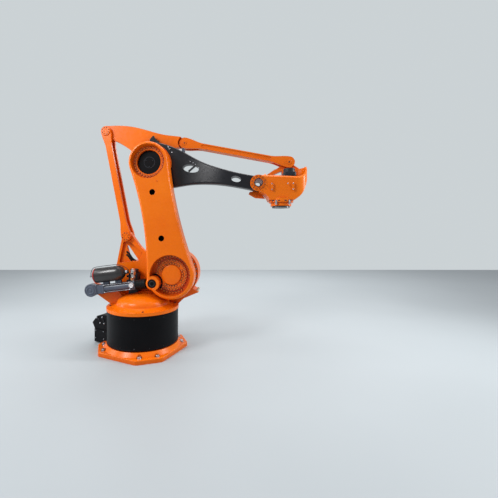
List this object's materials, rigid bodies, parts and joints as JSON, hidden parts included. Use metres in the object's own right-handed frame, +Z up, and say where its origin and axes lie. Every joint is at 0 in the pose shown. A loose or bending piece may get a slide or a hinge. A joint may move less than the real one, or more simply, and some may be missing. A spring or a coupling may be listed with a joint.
{
  "type": "palletizing robot arm",
  "caption": "Floor-standing industrial palletizing robot with a leaning link arm, a tapered forearm, parallel rod linkages that keep the hand level, and a hydraulic balancer.",
  "frame": {"origin": "turning axis of the column at floor level, in the underside of the base plate", "axes": "+Z up along the column's turning axis, +X the way the arm reaches, link arm on the -Y side"},
  "size_m": [2.519, 1.1047, 2.6318],
  "materials": {
    "orange_paint": "satin enamel over casting",
    "arm_black": "satin black enamel",
    "black_cover": "matte black cover",
    "black_box": "matte black housing",
    "motor_black": "matte black motor paint",
    "dark_steel": "phosphated steel",
    "grey_paint": "dark grey enamel",
    "black_rubber": "rubber bellows",
    "bottle_black": "black enamel bottle",
    "brass_fittings": "brass and bronze fittings",
    "gauge_white": "white dial",
    "polished_rod": "hard chrome",
    "flange_steel": "dark machined steel",
    "cream_plastic": "cream polymer"
  },
  "bodies": {
    "base": {"base_plate": "orange_paint", "base_cover": "black_cover", "connector_box": "black_box", "connector_head": "black_box"},
    "column": {"column": "orange_paint", "shoulder_gearbox": "orange_paint", "turntable_motor": "motor_black", "shoulder_motor": "motor_black", "balancer_bracket": "orange_paint", "stop_buffer": "cream_plastic"},
    "link_arm": {"link_arm": "orange_paint", "balancer_pin": "dark_steel", "shoulder_gear_face": "orange_paint", "elbow_ring": "orange_paint", "elbow_cap": "black_cover"},
    "balancer_cylinder": {"balancer_clevis": "grey_paint", "balancer_barrel": "grey_paint", "balancer_sleeve": "black_rubber", "accumulator": "bottle_black", "accumulator_cradle": "grey_paint", "valve_block": "brass_fittings", "pressure_gauge": "gauge_white"},
    "balancer_rod": {"balancer_rod": "polished_rod"},
    "rear_rod": {"rear_rod": "orange_paint"},
    "lever": {"lever": "orange_paint", "elbow_disc": "orange_paint", "elbow_motor": "motor_black"},
    "arm": {"arm": "arm_black"},
    "front_rod": {"front_rod": "orange_paint"},
    "hand": {"hand": "orange_paint", "wrist_motor": "motor_black"},
    "tool": {"tool_flange": "flange_steel"}
  },
  "joints": [
    {"name": "a1_turn", "type": "hinge", "parent": "base", "child": "column", "pos_m": [0, 0, 0.458], "axis": [0, 0, 1], "range_deg": [-165, 205]},
    {"name": "a2_link", "type": "hinge", "parent": "column", "child": "link_arm", "pos_m": [0.35, 0, 0.85], "axis": [0, 1, 0], "range_deg": [-14, 70]},
    {"name": "a3_arm", "type": "hinge", "parent": "lever", "child": "arm", "pos_m": [0.09527, 0, 2.1248], "axis": [0, 1, 0], "range_deg": [-26, 22]},
    {"name": "a6_tool", "type": "hinge", "parent": "hand", "child": "tool", "pos_m": [1.56795, 0, 1.59891], "axis": [0, 0, 1], "range_deg": [-350, 350]},
    {"name": "rear_rod_foot", "type": "hinge", "parent": "column", "child": "rear_rod", "pos_m": [-0.245, 0, 1.283], "axis": [0, 1, 0], "range_deg": [-14, 70]},
    {"name": "lever_elbow", "type": "hinge", "parent": "link_arm", "child": "lever", "pos_m": [0.09527, 0, 2.1248], "axis": [0, 1, 0], "range_deg": [-70, 14]},
    {"name": "front_rod_rear", "type": "hinge", "parent": "lever", "child": "front_rod", "pos_m": [0.45827, 0, 2.3998], "axis": [0, 1, 0], "range_deg": [-26, 22]},
    {"name": "a5_hand", "type": "hinge", "parent": "arm", "child": "hand", "pos_m": [1.31795, 0, 1.86491], "axis": [0, 1, 0], "range_deg": [-22, 26]},
    {"name": "balancer_trunnion", "type": "hinge", "parent": "column", "child": "balancer_cylinder", "pos_m": [-0.585, 0, 0.662], "axis": [0, 1, 0], "range_deg": [-17.51, 3.51]},
    {"name": "balancer_rod_eye", "type": "hinge", "parent": "link_arm", "child": "balancer_rod", "pos_m": [0.148, 0, 0.76], "axis": [0, 1, 0], "range_deg": [-87.51, 17.51]}
  ],
  "couplings": [
    {"joint": "rear_rod_foot", "follows": "a2_link", "ratio": 1},
    {"joint": "lever_elbow", "follows": "a2_link", "ratio": -1},
    {"joint": "balancer_trunnion", "follows": "a2_link", "ratio": -0.25},
    {"joint": "balancer_rod_eye", "follows": "a2_link", "ratio": -1.25},
    {"joint": "front_rod_rear", "follows": "a3_arm", "ratio": 1},
    {"joint": "a5_hand", "follows": "a3_arm", "ratio": -1}
  ]
}
